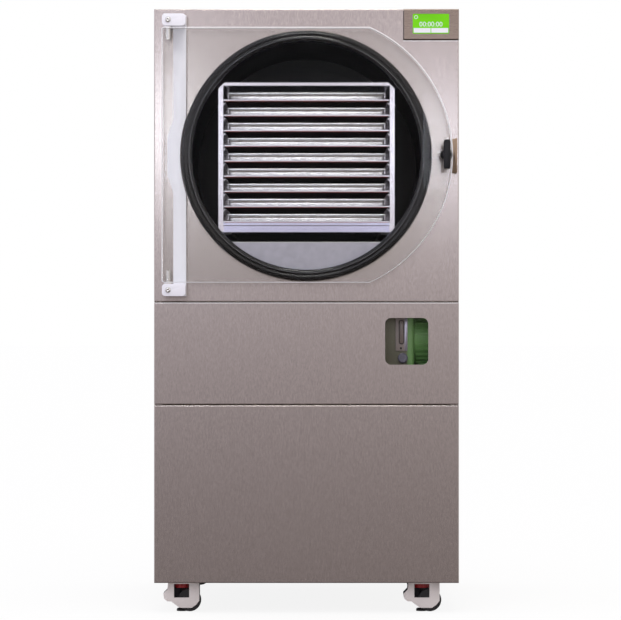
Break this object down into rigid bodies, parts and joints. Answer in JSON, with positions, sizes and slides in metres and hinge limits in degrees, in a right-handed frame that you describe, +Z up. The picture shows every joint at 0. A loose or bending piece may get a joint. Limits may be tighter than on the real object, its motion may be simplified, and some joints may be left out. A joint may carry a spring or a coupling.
{
  "type": "freeze dryer",
  "caption": "Floor-standing stainless freeze dryer: trays on heated shelves in a round vacuum chamber behind a clear hinged door, on levelling casters.",
  "frame": {"origin": "on the floor, below the centre of the overall box from the latch handle to the drain outlet", "axes": "+Z up, the front with the door faces -Y, +X is to the right seen from the front"},
  "size_m": [0.762, 1.0534, 1.511],
  "materials": {
    "brushed_stainless": "fine brushed grain",
    "rack_stainless": "bright rolled stainless",
    "tray_stainless": "pressed satin stainless",
    "painted_white": "smooth white powder coat",
    "galvanised": "galvanised sheet",
    "chamber_dark": "dark coated steel",
    "seal_rubber": "matt black rubber",
    "foam": "rigid insulating foam",
    "copper": "copper tube",
    "clear_acrylic": "clear cast acrylic, polished edges",
    "window_glass": "clear glazing",
    "zinc_plate": "zinc plated steel",
    "black_plastic": "fine grained black plastic",
    "catch_brass": "dull brass",
    "heater_silicone": "orange red silicone",
    "screen_green": "green display behind glass",
    "pump_green": "green enamel",
    "pump_olive": "dark olive enamel",
    "knob_grey": "grey moulded knob",
    "hose_rubber": "black rubber hose",
    "compressor_black": "black enamel",
    "aluminium_fins": "finned aluminium",
    "fan_black": "black moulded fan",
    "brass_valve": "brass valve body",
    "caster_ivory": "ivory painted casting",
    "wheel_nylon": "black nylon wheel",
    "thumbwheel_red": "red moulded thumbwheel",
    "foot_rubber": "black rubber pad"
  },
  "bodies": {
    "cabinet": {"base_pan": "galvanised", "side_panel_left": "brushed_stainless", "side_panel_right": "brushed_stainless", "top_panel": "brushed_stainless", "back_panel": "brushed_stainless", "upper_front_panel": "brushed_stainless", "middle_front_panel": "brushed_stainless", "lower_front_panel": "brushed_stainless", "window_pane": "window_glass", "equipment_deck": "galvanised", "vacuum_chamber": "chamber_dark", "door_gasket": "seal_rubber", "chamber_insulation": "foam", "evaporator_coil": "copper", "hinge_bar": "painted_white", "hinge_pins": "zinc_plate", "hinge_screws": "zinc_plate", "latch_catch": "catch_brass", "rack_frame": "rack_stainless", "shelves": "rack_stainless", "heater_mats": "heater_silicone", "tray_1": "tray_stainless", "tray_2": "tray_stainless", "tray_3": "tray_stainless", "tray_4": "tray_stainless", "tray_5": "tray_stainless", "tray_6": "tray_stainless", "tray_7": "tray_stainless", "tray_8": "tray_stainless", "tray_9": "tray_stainless", "control_bezel": "brushed_stainless", "touch_screen": "screen_green", "pump_casing": "pump_olive", "pump_motor": "pump_green", "vacuum_hose": "hose_rubber", "compressor": "compressor_black", "condenser": "aluminium_fins", "fan_motor": "zinc_plate", "drain_valve": "brass_valve", "power_inlet": "black_plastic"},
    "door": {"door": "clear_acrylic"},
    "latch": {"latch_handle": "black_plastic"},
    "fan": {"fan_blades": "fan_black"},
    "pump_drain_knob": {"pump_drain_knob": "knob_grey"},
    "caster_housing_front_left": {"caster_housing_front_left": "caster_ivory"},
    "caster_wheel_front_left": {"caster_wheel_front_left": "wheel_nylon"},
    "caster_thumbwheel_front_left": {"caster_thumbwheel_front_left": "thumbwheel_red"},
    "caster_foot_front_left": {"caster_foot_front_left": "foot_rubber"},
    "caster_housing_front_right": {"caster_housing_front_right": "caster_ivory"},
    "caster_wheel_front_right": {"caster_wheel_front_right": "wheel_nylon"},
    "caster_thumbwheel_front_right": {"caster_thumbwheel_front_right": "thumbwheel_red"},
    "caster_foot_front_right": {"caster_foot_front_right": "foot_rubber"},
    "caster_housing_rear_left": {"caster_housing_rear_left": "caster_ivory"},
    "caster_wheel_rear_left": {"caster_wheel_rear_left": "wheel_nylon"},
    "caster_thumbwheel_rear_left": {"caster_thumbwheel_rear_left": "thumbwheel_red"},
    "caster_foot_rear_left": {"caster_foot_rear_left": "foot_rubber"},
    "caster_housing_rear_right": {"caster_housing_rear_right": "caster_ivory"},
    "caster_wheel_rear_right": {"caster_wheel_rear_right": "wheel_nylon"},
    "caster_thumbwheel_rear_right": {"caster_thumbwheel_rear_right": "thumbwheel_red"},
    "caster_foot_rear_right": {"caster_foot_rear_right": "foot_rubber"}
  },
  "joints": [
    {"name": "door_hinge", "type": "hinge", "parent": "cabinet", "child": "door", "pos_m": [-0.343, -0.47165, 1.1435], "axis": [0, 0, -1], "range_deg": [0, 150]},
    {"name": "latch_turn", "type": "hinge", "parent": "door", "child": "latch", "pos_m": [0.347, -0.49065, 1.1435], "axis": [0, 1, 0], "range_deg": [0, 90]},
    {"name": "fan_spin", "type": "hinge", "parent": "cabinet", "child": "fan", "pos_m": [0, 0.38165, 0.2305], "axis": [0, 1, 0], "continuous": true},
    {"name": "pump_drain_knob_turn", "type": "hinge", "parent": "cabinet", "child": "pump_drain_knob", "pos_m": [0.242, -0.36235, 0.638], "axis": [0, 1, 0], "range_deg": [0, 90]},
    {"name": "caster_swivel_front_left", "type": "hinge", "parent": "cabinet", "child": "caster_housing_front_left", "pos_m": [-0.302, -0.34735, 0.0742], "axis": [0, 0, 1], "continuous": true},
    {"name": "caster_roll_front_left", "type": "hinge", "parent": "caster_housing_front_left", "child": "caster_wheel_front_left", "pos_m": [-0.294, -0.36285, 0.03], "axis": [0, 1, 0], "continuous": true},
    {"name": "caster_thumbwheel_turn_front_left", "type": "hinge", "parent": "caster_housing_front_left", "child": "caster_thumbwheel_front_left", "pos_m": [-0.314, -0.34135, 0.0595], "axis": [0, 0, 1], "range_deg": [-720, 900]},
    {"name": "caster_foot_travel_front_left", "type": "slide", "parent": "caster_housing_front_left", "child": "caster_foot_front_left", "axis": [0, 0, 1], "range_m": [-0.004, 0.005]},
    {"name": "caster_swivel_front_right", "type": "hinge", "parent": "cabinet", "child": "caster_housing_front_right", "pos_m": [0.302, -0.34735, 0.0742], "axis": [0, 0, 1], "continuous": true},
    {"name": "caster_roll_front_right", "type": "hinge", "parent": "caster_housing_front_right", "child": "caster_wheel_front_right", "pos_m": [0.31, -0.36285, 0.03], "axis": [0, 1, 0], "continuous": true},
    {"name": "caster_thumbwheel_turn_front_right", "type": "hinge", "parent": "caster_housing_front_right", "child": "caster_thumbwheel_front_right", "pos_m": [0.29, -0.34135, 0.0595], "axis": [0, 0, 1], "range_deg": [-720, 900]},
    {"name": "caster_foot_travel_front_right", "type": "slide", "parent": "caster_housing_front_right", "child": "caster_foot_front_right", "axis": [0, 0, 1], "range_m": [-0.004, 0.005]},
    {"name": "caster_swivel_rear_left", "type": "hinge", "parent": "cabinet", "child": "caster_housing_rear_left", "pos_m": [-0.302, 0.42665, 0.0742], "axis": [0, 0, 1], "continuous": true},
    {"name": "caster_roll_rear_left", "type": "hinge", "parent": "caster_housing_rear_left", "child": "caster_wheel_rear_left", "pos_m": [-0.294, 0.41115, 0.03], "axis": [0, 1, 0], "continuous": true},
    {"name": "caster_thumbwheel_turn_rear_left", "type": "hinge", "parent": "caster_housing_rear_left", "child": "caster_thumbwheel_rear_left", "pos_m": [-0.314, 0.43265, 0.0595], "axis": [0, 0, 1], "range_deg": [-720, 900]},
    {"name": "caster_foot_travel_rear_left", "type": "slide", "parent": "caster_housing_rear_left", "child": "caster_foot_rear_left", "axis": [0, 0, 1], "range_m": [-0.004, 0.005]},
    {"name": "caster_swivel_rear_right", "type": "hinge", "parent": "cabinet", "child": "caster_housing_rear_right", "pos_m": [0.302, 0.42665, 0.0742], "axis": [0, 0, 1], "continuous": true},
    {"name": "caster_roll_rear_right", "type": "hinge", "parent": "caster_housing_rear_right", "child": "caster_wheel_rear_right", "pos_m": [0.31, 0.41115, 0.03], "axis": [0, 1, 0], "continuous": true},
    {"name": "caster_thumbwheel_turn_rear_right", "type": "hinge", "parent": "caster_housing_rear_right", "child": "caster_thumbwheel_rear_right", "pos_m": [0.29, 0.43265, 0.0595], "axis": [0, 0, 1], "range_deg": [-720, 900]},
    {"name": "caster_foot_travel_rear_right", "type": "slide", "parent": "caster_housing_rear_right", "child": "caster_foot_rear_right", "axis": [0, 0, 1], "range_m": [-0.004, 0.005]}
  ],
  "couplings": [
    {"joint": "caster_foot_travel_front_left", "follows": "caster_thumbwheel_turn_front_left", "m_per_rad": 0.00031831},
    {"joint": "caster_foot_travel_front_right", "follows": "caster_thumbwheel_turn_front_right", "m_per_rad": 0.00031831},
    {"joint": "caster_foot_travel_rear_left", "follows": "caster_thumbwheel_turn_rear_left", "m_per_rad": 0.00031831},
    {"joint": "caster_foot_travel_rear_right", "follows": "caster_thumbwheel_turn_rear_right", "m_per_rad": 0.00031831}
  ]
}
